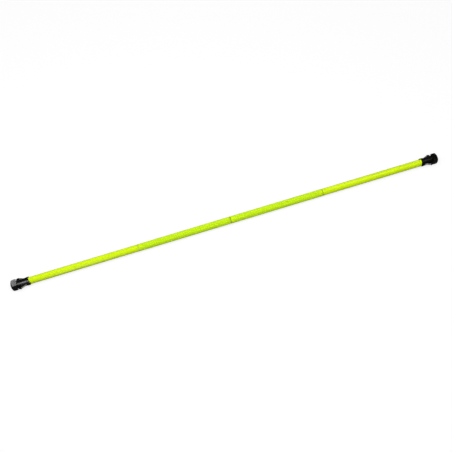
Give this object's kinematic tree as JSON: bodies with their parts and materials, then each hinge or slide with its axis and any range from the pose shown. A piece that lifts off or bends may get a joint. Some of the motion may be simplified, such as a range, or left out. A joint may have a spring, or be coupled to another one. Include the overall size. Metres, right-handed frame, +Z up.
{
  "type": "avalanche probe",
  "caption": "Sectional probe pole: plug-together tubes on an inner cable, textured grip sleeves over the middle, and a square pull head with two pinch latches at each end.",
  "frame": {"origin": "middle of the assembled pole, on its centre line", "axes": "+X along the pole from the tip end to the handle end, +Z up with the pole lying on its square heads, latches to the sides along Y"},
  "size_m": [1.6, 0.0426, 0.03],
  "materials": {
    "tube_lacquer": "gloss",
    "ring_lacquer": "gloss",
    "sleeve_knit": "satin",
    "black_plastic": "gloss",
    "pad_plastic": "satin",
    "stainless_steel": "satin",
    "blackened_steel": "satin",
    "ferrule_aluminium": "satin",
    "cable_coating": "satin",
    "o_ring_rubber": "matte",
    "guide_nylon": "satin"
  },
  "bodies": {
    "tip_section": {"section_1_tube": "tube_lacquer", "tip_collar": "black_plastic", "tip_collar_screw_top": "blackened_steel", "tip_collar_screw_bottom": "blackened_steel", "tip_hinge_pin_near": "stainless_steel", "tip_hinge_pin_far": "stainless_steel", "left_ferrule": "ferrule_aluminium", "left_o_ring": "o_ring_rubber"},
    "tip_head": {"tip_head": "black_plastic", "tip_rod": "stainless_steel", "tip_rod_pin": "blackened_steel", "tip_wear_disc": "stainless_steel", "tip_cable_stop": "stainless_steel", "tension_cable": "cable_coating", "handle_cable_stop": "stainless_steel"},
    "tip_latch_near": {"tip_thumb_pad_near": "pad_plastic", "tip_leaf_spring_near": "stainless_steel", "tip_lock_plate_near": "stainless_steel"},
    "tip_latch_far": {"tip_thumb_pad_far": "pad_plastic", "tip_leaf_spring_far": "stainless_steel", "tip_lock_plate_far": "stainless_steel"},
    "section_2": {"section_2_tube": "tube_lacquer", "left_joint_ring": "ring_lacquer", "left_grip_sleeve": "sleeve_knit", "middle_ferrule": "ferrule_aluminium", "middle_o_ring": "o_ring_rubber"},
    "section_3": {"section_3_tube": "tube_lacquer", "middle_joint_ring": "ring_lacquer", "right_joint_ring": "ring_lacquer", "right_grip_sleeve": "sleeve_knit", "right_ferrule": "ferrule_aluminium", "right_o_ring": "o_ring_rubber"},
    "section_4": {"section_4_tube": "tube_lacquer", "handle_collar": "black_plastic", "handle_collar_screw_top": "blackened_steel", "handle_collar_screw_bottom": "blackened_steel", "handle_hinge_pin_near": "stainless_steel", "handle_hinge_pin_far": "stainless_steel"},
    "handle_head": {"handle_head": "black_plastic", "handle_rod": "stainless_steel", "handle_rod_pin": "blackened_steel", "handle_end_disc": "black_plastic", "rod_mouth_bush": "guide_nylon", "rod_guide": "guide_nylon"},
    "handle_latch_near": {"handle_thumb_pad_near": "pad_plastic", "handle_leaf_spring_near": "stainless_steel", "handle_lock_plate_near": "stainless_steel"},
    "handle_latch_far": {"handle_thumb_pad_far": "pad_plastic", "handle_leaf_spring_far": "stainless_steel", "handle_lock_plate_far": "stainless_steel"}
  },
  "joints": [
    {"name": "section_2_pull", "type": "slide", "parent": "tip_section", "child": "section_2", "axis": [1, 0, 0], "range_m": [0, 0.048]},
    {"name": "section_3_pull", "type": "slide", "parent": "section_2", "child": "section_3", "axis": [1, 0, 0], "range_m": [0, 0.048]},
    {"name": "section_4_pull", "type": "slide", "parent": "section_3", "child": "section_4", "axis": [1, 0, 0], "range_m": [0, 0.048]},
    {"name": "handle_head_pull", "type": "slide", "parent": "section_4", "child": "handle_head", "axis": [1, 0, 0], "range_m": [0, 0.165]},
    {"name": "tip_head_pull", "type": "slide", "parent": "tip_section", "child": "tip_head", "axis": [-1, 0, 0], "range_m": [0, 0.04]},
    {"name": "tip_latch_near_press", "type": "hinge", "parent": "tip_section", "child": "tip_latch_near", "pos_m": [-0.7477, -0.011, 0], "axis": [0, 0, -1], "range_deg": [0, 4], "stiffness_Nm_per_rad": 0.1},
    {"name": "tip_latch_far_press", "type": "hinge", "parent": "tip_section", "child": "tip_latch_far", "pos_m": [-0.7477, 0.011, 0], "axis": [0, 0, 1], "range_deg": [0, 4], "stiffness_Nm_per_rad": 0.1},
    {"name": "handle_latch_near_press", "type": "hinge", "parent": "section_4", "child": "handle_latch_near", "pos_m": [0.7477, -0.011, 0], "axis": [0, 0, 1], "range_deg": [0, 4], "stiffness_Nm_per_rad": 0.1},
    {"name": "handle_latch_far_press", "type": "hinge", "parent": "section_4", "child": "handle_latch_far", "pos_m": [0.7477, 0.011, 0], "axis": [0, 0, -1], "range_deg": [0, 4], "stiffness_Nm_per_rad": 0.1}
  ]
}
